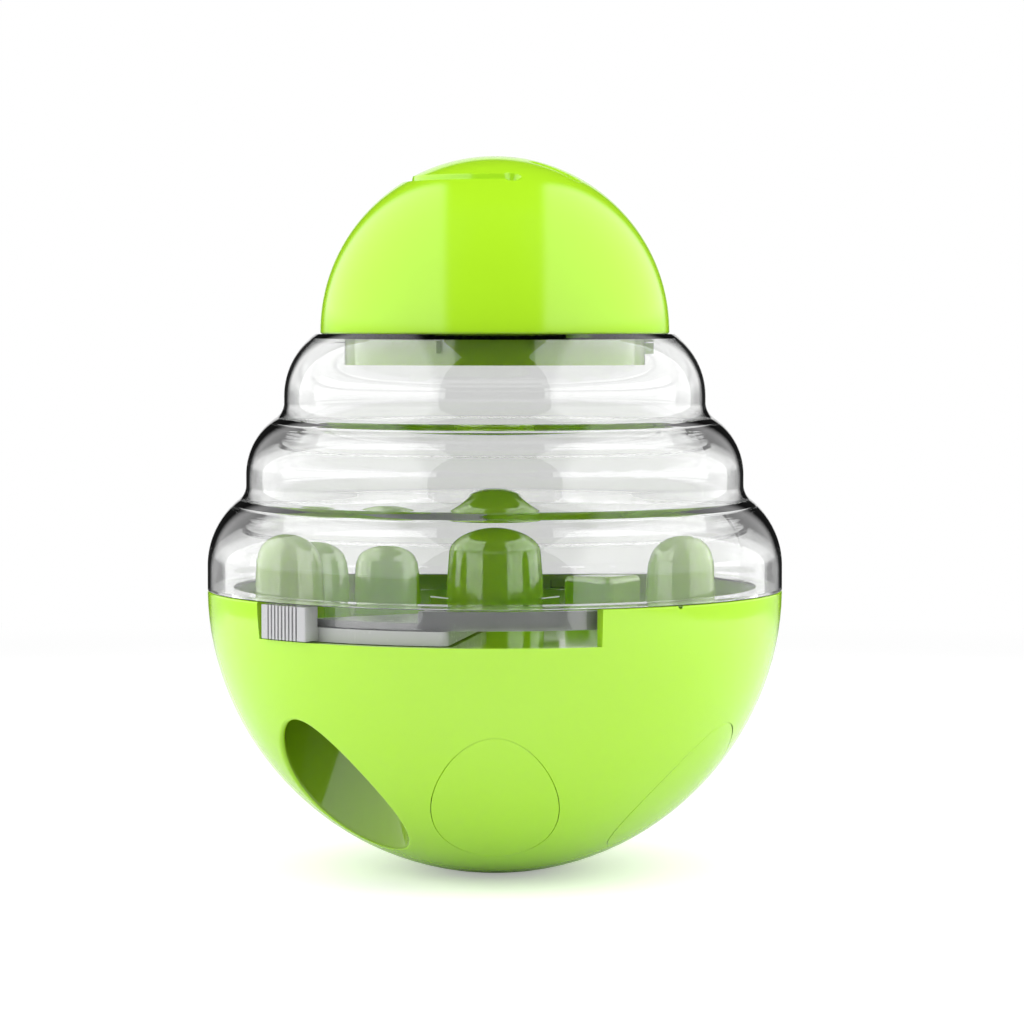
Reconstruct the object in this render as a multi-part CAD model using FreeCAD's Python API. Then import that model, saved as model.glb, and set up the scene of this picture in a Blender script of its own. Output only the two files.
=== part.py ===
import FreeCAD, Part

import math
import os

from FreeCAD import Vector

# Tumbling treat ball. A weighted green bowl carries a floor with pegs, a swinging
# gate over a drop hole, a clear three-tier shell and a green domed cap.
# Millimetres, +Z up, origin under the ball on the surface it stands on.
# Azimuth 0 is the front (-Y) and grows towards +X.

# Ball
ball_radius = 56.0
foot_radius = 5.0
base_wall = 2.4
rim_below_centre = 0.6
rim_wall = 2.9
rim_fit = 0.4
rim_edge_round = 0.35

# Window in the rim, where the thumb tab travels. It ends where the opened tab needs it to.
window_start = -52.2
window_depth = 6.9
tab_rest_gap = 2.0
tab_open_gap = 1.5

# Alignment notch in the rim
notch_azimuth = 37.5
notch_radius = 0.6

# Treat outlet and the plugged outlets
outlet_azimuth = -46.5
outlet_offset = 38.5
outlet_radius = 11.6
chute_wall = 1.9
outlet_edge_round = 0.7
plug_azimuths = {
    "outlet_plug_front": 0.0,
    "outlet_plug_right": 60.0,
    "outlet_plug_back_right": 120.0,
    "outlet_plug_back": 180.0,
    "outlet_plug_back_left": 240.0,
}
plug_radius = 12.0
plug_fit = 0.15
plug_seat_gap = 0.25
plug_flange_width = 1.3
plug_flange_thickness = 1.5
plug_skin = 2.0
plug_rim_wall = 2.0

# Counterweight, its cover and screws
weight_radius = 22.0
weight_height = 9.0
weight_bottom_z = 8.0
weight_edge = 0.8
weight_ring_gap = 0.3
weight_ring_wall = 1.7
weight_ring_height = 5.0
weight_rib_radius = 18.0
weight_rib_wall = 2.0
cover_thickness = 2.0
cover_overhang = 0.6
weight_screw_offset = 12.0
screw_azimuths = (30.0, 150.0, 270.0)
boss_radius = 2.9
boss_hole_gap = 0.4
boss_short_of_cover = 0.2

# Self-tapping screws
screw_shank_radius = 1.4
screw_head_radius = 2.6
screw_head_height = 1.6
screw_length = 8.0
screw_fit = 0.05
screw_hole_gap = 0.3
cross_slot_length = 3.12
cross_slot_width = 0.7
cross_slot_depth = 0.8
pilot_spare = 1.0

# Floor
floor_below_rim = 7.1
floor_thickness = 2.0
ledge_width = 2.4
ledge_depth = 1.2
ledge_taper = 4.0
pillar_offset = 47.5
pillar_radius = 3.2
drop_hole_radius = 8.0
drop_hole_round = 0.6

# Pegs: azimuth, distance from the axis
pegs = ((-74.0, 41.0), (-108.0, 37.5), (-144.0, 37.5), (72.0, 37.5))
peg_foot_radius = 7.0
peg_top_radius = 6.0
peg_height = 16.3
peg_round = 4.6
stub_azimuth = 144.0
stub_offset = 37.5
stub_width = 12.0
stub_height = 7.7
stub_round = 1.5

# Centre post
post_foot_radius = 9.75
post_top_radius = 9.1
post_height = 18.5
post_round = 6.0
post_wall = 2.2
post_core_radius = 4.0
post_band_height = 4.7
post_band_depth = 0.35
post_band_width = 0.9
spigot_radius = 5.0
spigot_fit = 0.1
lug_reach = 2.9
lug_width = 3.6
lug_low = 3.4
lug_high = 5.5
lug_slope = 0.7

# Gate
gate_gap = 0.3
gate_thickness = 2.6
gate_start = -60.0
gate_end = -9.4
gate_outer_gap = 0.4
gate_corner = 1.5
collar_wall = 3.6
collar_gap = 0.5
collar_start = -200.0
band_gap = 0.8
band_wall = 1.8
band_height = 6.1
band_low_height = 4.0
band_low_end = -16.0
band_ramp_end = -11.0
band_end = 48.0
tab_angle = 12.2
tab_proud = 0.5
tab_top_gap = 0.3
ridge_count = 8
ridge_pitch = 0.95
ridge_gap_width = 0.42
ridge_depth = 0.5
gate_travel = 57.0

# Clear shell. Each tier is a straight wall, then an arc that bends inwards. The lowest is
# flush with the ball, and the others are set in from it.
shell_wall = 1.8
tier_steps_in = (0.0, 7.5, 14.9)
tier_arc_starts = (4.8, 22.4, 37.6)
tier_arc_radii = (16.4, 13.3, 15.0)
neck_above_rim = 49.7
valley_round = 1.4
shell_edge_round = 0.3
skirt_wall = 1.7
skirt_depth = 3.9
skirt_step = 1.8
land_thickness = 1.3

# Bayonet between the shell and the bowl
shell_lug_azimuths = (50.0, 160.0, 270.0)
shell_lug_angle = 14.0
shell_lug_reach = 1.5
shell_lug_below_rim = 2.0
shell_lug_height = 1.4
shell_turn = 20.0
bayonet_gap = 0.3

# Cap
dome_radius = 34.0
dome_centre_rise = 0.5
cap_wall = 2.4
dome_shoulder = 4.7
neck_wall = 2.0
neck_depth = 5.9
neck_gap = 0.3
cap_floor = 2.0
cap_edge_round = 0.4
cap_lug_azimuths = (-25.0, 95.0, 215.0)
cap_lug_angle = 9.0
cap_lug_reach = 1.7
cap_lug_height = 2.2
cap_turn = 54.0
stop_angle = 3.0
grip_radius = 17.0
grip_start = -170.0
grip_end = 11.0
grip_groove = 1.0
grip_end_groove = 1.5
mark_start = (17.0, 50.0)
mark_end = (31.0, 63.0)

# Heights and radii that follow from the sizes above
ball_centre_z = math.sqrt(ball_radius ** 2 - foot_radius ** 2)
rim_z = ball_centre_z - rim_below_centre
inner_radius = ball_radius - base_wall
rim_inner_radius = ball_radius - rim_wall
window_z = rim_z - window_depth
tab_start = window_start + tab_rest_gap
tab_end = tab_start + tab_angle
window_end = tab_end + gate_travel + tab_open_gap
floor_top_z = rim_z - floor_below_rim
floor_z = floor_top_z - floor_thickness
floor_radius = rim_inner_radius - rim_fit
ledge_radius = rim_inner_radius - ledge_width
weight_top_z = weight_bottom_z + weight_height
cover_top_z = weight_top_z + cover_thickness
skirt_outer_radius = rim_inner_radius - rim_fit
skirt_inner_radius = skirt_outer_radius - skirt_wall
skirt_z = rim_z - skirt_depth
gate_z = floor_top_z + gate_gap
gate_top_z = gate_z + gate_thickness
gate_outer_radius = rim_inner_radius - gate_outer_gap
band_outer_radius = skirt_inner_radius - band_gap
tier_radii = [ball_radius - step for step in tier_steps_in]
neck_radius = dome_radius - dome_shoulder
neck_z = rim_z + neck_above_rim
land_z = neck_z - land_thickness
dome_centre_z = neck_z + dome_centre_rise

# How far cutting tools run past what they cut, and how close a found edge has to be
overlap = 1.0
near = 0.01

origin = Vector(0, 0, 0)
up = Vector(0, 0, 1)


def turned(shape, azimuth):
    """A copy of a shape that was made at the front, turned to its azimuth."""
    copy = shape.copy()
    copy.rotate(origin, up, azimuth)
    return copy


def at_front(distance, height=0.0):
    """A point in front of the axis."""
    return Vector(0, -distance, height)


def upright(radius, low, high, distance=0.0, azimuth=0.0):
    """An upright cylinder at a distance and azimuth from the axis."""
    cylinder = Part.makeCylinder(radius, high - low, at_front(distance, low), up)
    return turned(cylinder, azimuth)


def ball(radius):
    """A sphere about the ball's centre."""
    return Part.makeSphere(radius, Vector(0, 0, ball_centre_z))


def ring_sector(inner, outer, low, high, start, end):
    """Part of a flat ring between two azimuths."""
    corners = [at_front(inner, low), at_front(outer, low), at_front(outer, high), at_front(inner, high)]
    face = Part.Face(Part.makePolygon(corners + corners[:1]))
    return turned(face.revolve(origin, up, end - start), start)


def on_arc(centre, radius, angle):
    """Radius and height of a point on a profile's arc, its angle measured from level."""
    turn = math.radians(angle)
    return (centre[0] + radius * math.cos(turn), centre[1] + radius * math.sin(turn))


def arc_edge(centre, radius, first, last):
    """An arc of a profile from one angle to another."""
    points = [on_arc(centre, radius, angle) for angle in (first, (first + last) / 2, last)]
    return Part.Arc(*[Vector(r, 0, z) for r, z in points]).toShape()


def line_edges(points):
    """Straight edges of a profile through points given as radius and height."""
    places = [Vector(r, 0, z) for r, z in points]
    return [Part.makeLine(a, b) for a, b in zip(places[:-1], places[1:])]


def revolved(edges):
    """The solid that a closed profile makes round the axis."""
    wire = Part.Wire(edges)
    return Part.Face(wire).revolve(origin, up, 360)


def edges_where(shape, test):
    """The edges whose bounding box passes a test."""
    return [edge for edge in shape.Edges if test(edge.BoundBox)]


def level_circles(shape, height, low=0.0, high=1000.0):
    """Level edges at one height whose reach from the axis lies between two radii."""

    def test(box):
        flat = abs(box.ZMin - height) < near and abs(box.ZMax - height) < near
        reach = max(abs(box.XMax), abs(box.XMin), abs(box.YMax), abs(box.YMin))
        return flat and low < reach < high

    return edges_where(shape, test)


def save(node, shape):
    """Write one sub-part and report what it holds."""
    solids = shape.Solids
    result = solids[0] if len(solids) == 1 else Part.makeCompound(solids)
    result.exportStep("parts/" + node + ".step")
    print(node, "solids", len(solids), "valid", result.isValid(), "volume", round(result.Volume, 1))


def base_profile():
    """Bowl: outer ball on a small flat foot, inner ball, ledge for the floor, rim wall."""
    centre = (0.0, ball_centre_z)
    foot_angle = -math.degrees(math.acos(foot_radius / ball_radius))
    rim_angle = -math.degrees(math.asin(rim_below_centre / ball_radius))
    rim_outer = on_arc(centre, ball_radius, rim_angle)
    taper_z = floor_z - ledge_depth - ledge_taper
    taper_angle = -math.degrees(math.asin((ball_centre_z - taper_z) / inner_radius))
    edges = line_edges([(0, 0), (foot_radius, 0)])
    edges.append(arc_edge(centre, ball_radius, foot_angle, rim_angle))
    edges += line_edges([
        rim_outer,
        (rim_inner_radius, rim_z),
        (rim_inner_radius, floor_z),
        (ledge_radius, floor_z),
        (ledge_radius, floor_z - ledge_depth),
        on_arc(centre, inner_radius, taper_angle),
    ])
    edges.append(arc_edge(centre, inner_radius, taper_angle, -90.0))
    edges += line_edges([(0, ball_centre_z - inner_radius), (0, 0)])
    return edges


def bayonet_track(azimuth):
    """Entry slot from the rim down to a groove that runs back to the locked place."""
    half = shell_lug_angle / 2
    side_gap = math.degrees(bayonet_gap / rim_inner_radius)
    outer = skirt_outer_radius + shell_lug_reach + bayonet_gap
    low = rim_z - shell_lug_below_rim - shell_lug_height - bayonet_gap
    high = rim_z - shell_lug_below_rim + bayonet_gap
    first = azimuth - half - side_gap
    last = azimuth + shell_turn + half + side_gap
    inner = rim_inner_radius - overlap
    groove = ring_sector(inner, outer, low, high, first, last)
    entry = ring_sector(inner, outer, low, rim_z + overlap, last - shell_lug_angle - 2 * side_gap, last)
    return groove.fuse(entry)


def outlet_edges(shell):
    """The edges where the chute's bore meets the outside of the ball."""
    ball_centre = Vector(0, 0, ball_centre_z)
    middle = turned(Part.Vertex(at_front(outlet_offset)), outlet_azimuth).Point
    found = []
    for edge in shell.Edges:
        if edge.Degenerated:
            continue
        places = edge.discretize(5)
        from_centre = [place.distanceToPoint(ball_centre) for place in places]
        from_middle = [math.hypot(place.x - middle.x, place.y - middle.y) for place in places]
        on_ball = all(abs(distance - ball_radius) < near for distance in from_centre)
        on_bore = all(abs(distance - outlet_radius) < near for distance in from_middle)
        if on_ball and on_bore:
            found.append(edge)
    return found


def make_base_shell():
    shell = revolved(base_profile())
    rim_edges = level_circles(shell, rim_z, rim_inner_radius + rim_wall / 2)
    shell = shell.makeFillet(rim_edge_round, rim_edges)

    # What stands up inside the bowl, trimmed to the middle of its wall
    rib = upright(weight_rib_radius, 0, weight_bottom_z).cut(
        upright(weight_rib_radius - weight_rib_wall, 0, weight_bottom_z))
    ring_inner = weight_radius + weight_ring_gap
    ring_top = weight_bottom_z + weight_ring_height
    ring = upright(ring_inner + weight_ring_wall, 0, ring_top).cut(upright(ring_inner, 0, ring_top))
    inside = [rib, ring]
    for azimuth in screw_azimuths:
        boss_top = weight_top_z - boss_short_of_cover
        inside.append(upright(boss_radius, 0, boss_top, weight_screw_offset, azimuth))
        inside.append(upright(pillar_radius, 0, floor_z, pillar_offset, azimuth))
    middle = ball(ball_radius - base_wall / 2)
    shell = shell.fuse([piece.common(middle) for piece in inside])

    # The chute from the floor down to the outlet
    chute = upright(outlet_radius + chute_wall, 0, floor_z, outlet_offset, outlet_azimuth)
    shell = shell.fuse(chute.common(ball(ball_radius)))
    shell = shell.cut(upright(outlet_radius, -overlap, floor_z + overlap, outlet_offset, outlet_azimuth))
    shell = shell.makeFillet(outlet_edge_round, outlet_edges(shell))

    cuts = []
    for azimuth in plug_azimuths.values():
        cuts.append(upright(plug_radius, -overlap, floor_z - ledge_depth, outlet_offset, azimuth))
    for azimuth in screw_azimuths:
        pilot_radius = screw_shank_radius + screw_fit
        depth = screw_length + pilot_spare
        boss_top = weight_top_z - boss_short_of_cover
        cuts.append(upright(pilot_radius, boss_top - depth, boss_top + overlap, weight_screw_offset, azimuth))
        cuts.append(upright(pilot_radius, floor_z - depth, floor_z + overlap, pillar_offset, azimuth))
    cuts.append(ring_sector(rim_inner_radius - overlap, ball_radius + overlap, window_z, rim_z + overlap,
                            window_start, window_end))
    cuts += [bayonet_track(azimuth) for azimuth in shell_lug_azimuths]
    notch_start = at_front(ball_radius + overlap, rim_z)
    notch = Part.makeCylinder(notch_radius, overlap + base_wall, notch_start, Vector(0, 1, 0))
    cuts.append(turned(notch, notch_azimuth))
    return shell.cut(cuts)


def make_outlet_plug(azimuth):
    """A disc flush with the ball, with a flange that seats inside the wall."""
    outer = ball(ball_radius)
    wall_inside = ball(inner_radius - plug_seat_gap)
    flange_inside = ball(inner_radius - plug_seat_gap - plug_flange_thickness)
    top = floor_z - ledge_depth
    disc = upright(plug_radius - plug_fit, 0, top, outlet_offset, azimuth)
    disc = disc.common(outer).cut(flange_inside)
    flange_top = floor_z - ledge_depth - ledge_taper - plug_seat_gap
    flange = upright(plug_radius + plug_flange_width, 0, flange_top, outlet_offset, azimuth)
    flange = flange.common(wall_inside).cut(flange_inside)
    hollow = upright(plug_radius - plug_rim_wall, 0, top, outlet_offset, azimuth)
    hollow = hollow.common(ball(ball_radius - plug_skin))
    return disc.fuse(flange).cut(hollow).removeSplitter()


def make_counterweight():
    body = Part.makeCylinder(weight_radius, weight_height, Vector(0, 0, weight_bottom_z))
    rims = level_circles(body, weight_bottom_z) + level_circles(body, weight_top_z)
    body = body.makeChamfer(weight_edge, rims)
    hole = boss_radius + boss_hole_gap
    holes = [upright(hole, weight_bottom_z - overlap, weight_top_z + overlap, weight_screw_offset, azimuth)
             for azimuth in screw_azimuths]
    return body.cut(holes)


def make_weight_cover():
    radius = weight_radius + cover_overhang
    cover = Part.makeCylinder(radius, cover_thickness, Vector(0, 0, weight_top_z))
    hole = screw_shank_radius + screw_hole_gap
    holes = [upright(hole, weight_top_z - overlap, cover_top_z + overlap, weight_screw_offset, azimuth)
             for azimuth in screw_azimuths]
    cover = cover.cut(holes)
    top_edge = level_circles(cover, cover_top_z, radius - overlap)
    return cover.makeFillet(cover_thickness / 2, top_edge)


def make_pan_screw(head_z):
    """A pan-head screw on the axis, its head resting on head_z, pointing down."""
    head = Part.makeCylinder(screw_head_radius, screw_head_height, Vector(0, 0, head_z))
    head = head.makeFillet(screw_head_height / 2, level_circles(head, head_z + screw_head_height))
    tip = screw_shank_radius
    low = head_z - screw_length
    shank = Part.makeCylinder(screw_shank_radius, screw_length - tip, Vector(0, 0, low + tip))
    point = Part.makeCone(screw_shank_radius / 3, screw_shank_radius, tip, Vector(0, 0, low))
    return head.fuse([shank, point]).cut(cross_slot(head_z + screw_head_height))


def make_flat_screw(top_z):
    """A countersunk screw on the axis, its head flush with top_z."""
    rise = screw_head_radius - screw_shank_radius
    head = Part.makeCone(screw_shank_radius, screw_head_radius, rise, Vector(0, 0, top_z - rise))
    tip = screw_shank_radius
    low = top_z - screw_length
    shank = Part.makeCylinder(screw_shank_radius, screw_length - tip - rise, Vector(0, 0, low + tip))
    point = Part.makeCone(screw_shank_radius / 3, screw_shank_radius, tip, Vector(0, 0, low))
    return head.fuse([shank, point]).cut(cross_slot(top_z))


def cross_slot(top_z):
    """The cross recess of a screw head."""
    bars = []
    for size_x, size_y in ((cross_slot_length, cross_slot_width), (cross_slot_width, cross_slot_length)):
        corner = Vector(-size_x / 2, -size_y / 2, top_z - cross_slot_depth)
        bars.append(Part.makeBox(size_x, size_y, cross_slot_depth + overlap, corner))
    return bars[0].fuse(bars[1])


def around_axis(shape, distance, azimuths):
    """Copies of a shape moved out from the axis to each azimuth."""
    placed = shape.copy()
    placed.translate(at_front(distance))
    return Part.makeCompound([turned(placed, azimuth) for azimuth in azimuths])


def rounded_peg(low_radius, high_radius, height, edge_round):
    """A drafted peg on the axis with a rounded top, standing on the floor."""
    peg = Part.makeCone(low_radius, high_radius, height, Vector(0, 0, floor_top_z))
    return peg.makeFillet(edge_round, level_circles(peg, floor_top_z + height))


def make_maze_floor():
    floor = Part.makeCylinder(floor_radius, floor_thickness, Vector(0, 0, floor_z))
    peg = rounded_peg(peg_foot_radius, peg_top_radius, peg_height, peg_round)
    standing = []
    for azimuth, distance in pegs:
        standing += around_axis(peg, distance, [azimuth]).Solids
    corner = Vector(-stub_width / 2, -stub_width / 2 - stub_offset, floor_top_z)
    stub = Part.makeBox(stub_width, stub_width, stub_height, corner)
    upper = edges_where(stub, lambda box: box.ZMax > floor_top_z + stub_height / 2)
    stub = stub.makeFillet(stub_round, upper)
    standing.append(turned(stub, stub_azimuth))
    floor = floor.fuse(standing)
    drop_hole = upright(drop_hole_radius, floor_z - overlap, floor_top_z + overlap,
                        outlet_offset, outlet_azimuth)
    countersink = Part.makeCone(drop_hole_radius, drop_hole_radius + drop_hole_round, drop_hole_round,
                                at_front(outlet_offset, floor_top_z - drop_hole_round))
    cuts = [drop_hole, turned(countersink, outlet_azimuth)]
    cuts.append(upright(spigot_radius + spigot_fit, floor_z - overlap, floor_top_z + overlap))
    rise = screw_head_radius - screw_shank_radius
    for azimuth in screw_azimuths:
        hole_radius = screw_shank_radius + screw_hole_gap
        cuts.append(upright(hole_radius, floor_z - overlap, floor_top_z + overlap, pillar_offset, azimuth))
        sink = Part.makeCone(screw_shank_radius + screw_fit, screw_head_radius + screw_fit, rise,
                             at_front(pillar_offset, floor_top_z - rise))
        cuts.append(turned(sink, azimuth))
    return floor.cut(cuts)


def make_centre_post():
    """Hollow post on a spigot that goes through the floor, with two side lugs."""
    post = rounded_peg(post_foot_radius, post_top_radius, post_height, post_round)
    band_z = floor_top_z + post_band_height
    groove = upright(post_foot_radius + overlap, band_z, band_z + post_band_width)
    groove = groove.cut(upright(post_foot_radius - post_band_depth, band_z, band_z + post_band_width))
    post = post.cut(groove)
    spigot = Part.makeCylinder(spigot_radius, floor_thickness, Vector(0, 0, floor_z))
    lugs = []
    for side in (-90.0, 90.0):
        inner = post_top_radius - post_wall
        outer = post_foot_radius + lug_reach
        low = floor_top_z + lug_low
        high = floor_top_z + lug_high
        corners = [at_front(inner, low), at_front(outer, low), at_front(outer, high),
                   at_front(inner, high - lug_slope)]
        places = [Vector(-lug_width / 2, place.y, place.z) for place in corners]
        face = Part.Face(Part.makePolygon(places + places[:1]))
        lugs.append(turned(face.extrude(Vector(lug_width, 0, 0)), side))
    hollow = Part.makeCone(post_foot_radius - post_wall, post_top_radius - post_wall, post_height - post_wall,
                           Vector(0, 0, floor_top_z))
    hollow = hollow.cut(upright(post_core_radius, floor_top_z, floor_top_z + post_height))
    post = post.cut(hollow).fuse([spigot] + lugs)
    pilot = upright(screw_shank_radius + screw_fit, floor_z - overlap, floor_z + screw_length + pilot_spare)
    return post.cut(pilot)


def make_post_screw():
    """The screw that holds the post, put in from below the floor."""
    screw = make_pan_screw(0.0)
    screw.rotate(origin, Vector(1, 0, 0), 180)
    screw.translate(Vector(0, 0, floor_z))
    return screw


def make_gate_ring():
    """Fan-shaped gate with a collar round the post, a guide band and a thumb tab."""
    collar_inner = post_foot_radius + collar_gap
    collar_outer = collar_inner + collar_wall
    fan = ring_sector(collar_outer - overlap, gate_outer_radius, gate_z, gate_top_z, gate_start, gate_end)
    corner_edges = [edge for edge in fan.Edges
                    if edge.BoundBox.ZLength > gate_thickness / 2
                    and math.hypot(edge.CenterOfMass.x, edge.CenterOfMass.y) > gate_outer_radius - overlap]
    fan = fan.makeFillet(gate_corner, corner_edges)
    collar = ring_sector(collar_inner, collar_outer, gate_z, gate_top_z, collar_start, gate_end)
    band_inner = band_outer_radius - band_wall
    low_band = ring_sector(band_inner, band_outer_radius, gate_top_z - overlap, gate_z + band_low_height,
                           gate_start, band_ramp_end)
    high_band = ring_sector(band_inner, band_outer_radius, gate_top_z, gate_z + band_height,
                            band_low_end, band_end)
    tab_inner = rim_inner_radius - rim_fit + gate_gap
    tab_outer = ball_radius + tab_proud
    tab_z = window_z + gate_gap
    tab = ring_sector(tab_inner, tab_outer, tab_z, rim_z - tab_top_gap, tab_start, tab_end)
    tab_arm = ring_sector(gate_outer_radius - overlap, tab_outer - overlap, tab_z, gate_top_z,
                          tab_start, tab_end)
    outer_edges = [edge for edge in tab.Edges
                   if edge.BoundBox.ZLength > gate_thickness
                   and math.hypot(edge.CenterOfMass.x, edge.CenterOfMass.y) > tab_outer - overlap]
    tab = tab.makeFillet(gate_gap, outer_edges)
    gate = fan.fuse([collar, low_band, high_band, tab, tab_arm])
    middle = (tab_start + tab_end) / 2
    pitch_angle = math.degrees(ridge_pitch / tab_outer)
    half_gap_angle = math.degrees(ridge_gap_width / 2 / tab_outer)
    grooves = []
    for index in range(ridge_count + 1):
        azimuth = middle + (index - ridge_count / 2) * pitch_angle
        grooves.append(ring_sector(tab_outer - ridge_depth, tab_outer + overlap, gate_z - overlap, rim_z,
                                   azimuth - half_gap_angle, azimuth + half_gap_angle))
    return gate.cut(grooves)


def tier_profile(offset):
    """Edges of the tiers from the rim to the neck, set in by offset, and their ends."""
    start_z = rim_z + (skirt_step if offset else 0.0)
    place = (tier_radii[0] - offset, start_z)
    first = place
    top_z = land_z if offset else neck_z
    edges = []
    for index, radius in enumerate(tier_radii):
        arc_z = rim_z + tier_arc_starts[index]
        arc_radius = tier_arc_radii[index] - offset
        centre = (radius - tier_arc_radii[index], arc_z)
        edges += line_edges([place, (radius - offset, arc_z)])
        if index + 1 < len(tier_radii):
            end = math.degrees(math.acos((tier_radii[index + 1] - offset - centre[0]) / arc_radius))
        else:
            end = math.degrees(math.asin((top_z - arc_z) / arc_radius))
        edges.append(arc_edge(centre, arc_radius, 0.0, end))
        place = on_arc(centre, arc_radius, end)
    return edges, first, place


def shell_valleys():
    """Height of the corner in each valley between two tiers, on the outer face."""
    heights = []
    for index in range(len(tier_radii) - 1):
        centre_r = tier_radii[index] - tier_arc_radii[index]
        reach = (tier_radii[index + 1] - centre_r) / tier_arc_radii[index]
        heights.append(rim_z + tier_arc_starts[index] + tier_arc_radii[index] * math.sin(math.acos(reach)))
    return heights


def make_clear_shell():
    outer_edges, outer_start, outer_end = tier_profile(0.0)
    inner_edges, inner_start, inner_end = tier_profile(shell_wall)
    opening = neck_radius + neck_gap
    edges = list(outer_edges)
    edges += line_edges([outer_end, (opening, neck_z), (opening, land_z), inner_end])
    edges += inner_edges
    edges += line_edges([
        inner_start,
        (skirt_inner_radius, rim_z),
        (skirt_inner_radius, skirt_z),
        (skirt_outer_radius, skirt_z),
        (skirt_outer_radius, rim_z),
        outer_start,
    ])
    shell = revolved(Part.sortEdges(edges)[0])
    valleys = []
    for height, radius in zip(shell_valleys(), tier_radii[1:]):
        valleys += level_circles(shell, height, radius - overlap, radius + overlap)
    shell = shell.makeFillet(valley_round, valleys)
    shell = shell.makeFillet(shell_edge_round, level_circles(shell, rim_z, tier_radii[0] - overlap))

    half = shell_lug_angle / 2
    lug_top = rim_z - shell_lug_below_rim
    lugs = []
    for azimuth in shell_lug_azimuths:
        lugs.append(ring_sector(skirt_outer_radius - skirt_wall / 2, skirt_outer_radius + shell_lug_reach,
                                lug_top - shell_lug_height, lug_top, azimuth - half, azimuth + half))
    lug_outer = neck_radius + cap_lug_reach
    side_gap = math.degrees(bayonet_gap / lug_outer)
    cuts = []
    for azimuth in cap_lug_azimuths:
        locked = azimuth - cap_lug_angle / 2 - side_gap
        lugs.append(ring_sector(opening, lug_outer + bayonet_gap, land_z - cap_lug_height,
                                land_z + land_thickness / 2, locked - stop_angle, locked))
        first = azimuth + cap_turn - cap_lug_angle / 2 - side_gap
        last = azimuth + cap_turn + cap_lug_angle / 2 + side_gap
        cuts.append(ring_sector(opening - overlap, lug_outer + bayonet_gap, land_z - overlap / 2,
                                neck_z + overlap, first, last))
    return shell.fuse(lugs).cut(cuts)


def dome_point(polar, azimuth):
    """A point on the dome by its angle from the top and its azimuth."""
    tilt = math.radians(polar)
    turn = math.radians(azimuth)
    level = dome_radius * math.sin(tilt)
    height = dome_centre_z + dome_radius * math.cos(tilt)
    return Vector(level * math.sin(turn), -level * math.cos(turn), height)


def make_cap():
    centre = (0.0, dome_centre_z)
    base_angle = -math.degrees(math.asin(dome_centre_rise / dome_radius))
    outer_base = on_arc(centre, dome_radius, base_angle)
    inner_dome = dome_radius - cap_wall
    floor_angle = math.degrees(math.asin((cap_floor - dome_centre_rise) / inner_dome))
    neck_inner = neck_radius - neck_wall
    edges = line_edges([
        (neck_inner, neck_z - neck_depth),
        (neck_radius, neck_z - neck_depth),
        (neck_radius, neck_z),
        outer_base,
    ])
    edges.append(arc_edge(centre, dome_radius, base_angle, 90.0))
    edges += line_edges([(0, dome_centre_z + dome_radius), (0, dome_centre_z + inner_dome)])
    edges.append(arc_edge(centre, inner_dome, 90.0, floor_angle))
    edges += line_edges([
        on_arc(centre, inner_dome, floor_angle),
        (neck_inner, neck_z + cap_floor),
        (neck_inner, neck_z - neck_depth),
    ])
    cap = revolved(edges)
    cap = cap.makeFillet(cap_edge_round, level_circles(cap, neck_z, dome_radius - overlap))
    half = cap_lug_angle / 2
    lug_top = land_z - neck_gap / 2
    lugs = []
    for azimuth in cap_lug_azimuths:
        lugs.append(ring_sector(neck_inner + neck_wall / 2, neck_radius + cap_lug_reach,
                                lug_top - cap_lug_height, lug_top, azimuth - half, azimuth + half))
    cap = cap.fuse(lugs)

    # Finger grip: an arc groove with a deeper end, and a short mark that points outwards
    grip_polar = math.degrees(math.asin(grip_radius / dome_radius))
    grip_z = dome_point(grip_polar, 0).z
    groove_centre = Vector(0, 0, grip_z)
    groove = Part.makeTorus(grip_radius, grip_groove, groove_centre, up, -180, 180, grip_end - grip_start)
    groove.rotate(origin, up, grip_start - 90.0)
    cuts = [
        groove,
        Part.makeSphere(grip_groove, dome_point(grip_polar, grip_start)),
        Part.makeSphere(grip_end_groove, dome_point(grip_polar, grip_end)),
    ]
    first = dome_point(*mark_start)
    last = dome_point(*mark_end)
    along = last.sub(first)
    cuts.append(Part.makeCylinder(grip_groove, along.Length, first, along))
    cuts.append(Part.makeSphere(grip_groove, first))
    cuts.append(Part.makeSphere(grip_groove, last))
    return cap.cut(cuts)


os.makedirs("parts", exist_ok=True)

save("base_shell", make_base_shell())
for node, azimuth in plug_azimuths.items():
    save(node, make_outlet_plug(azimuth))
save("counterweight", make_counterweight())
save("weight_cover", make_weight_cover())
save("weight_screws", around_axis(make_pan_screw(cover_top_z), weight_screw_offset, screw_azimuths))
save("maze_floor", make_maze_floor())
save("floor_screws", around_axis(make_flat_screw(floor_top_z), pillar_offset, screw_azimuths))
save("centre_post", make_centre_post())
save("post_screw", make_post_screw())
save("gate_ring", make_gate_ring())
save("clear_shell", make_clear_shell())
save("cap", make_cap())
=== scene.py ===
import math

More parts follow.
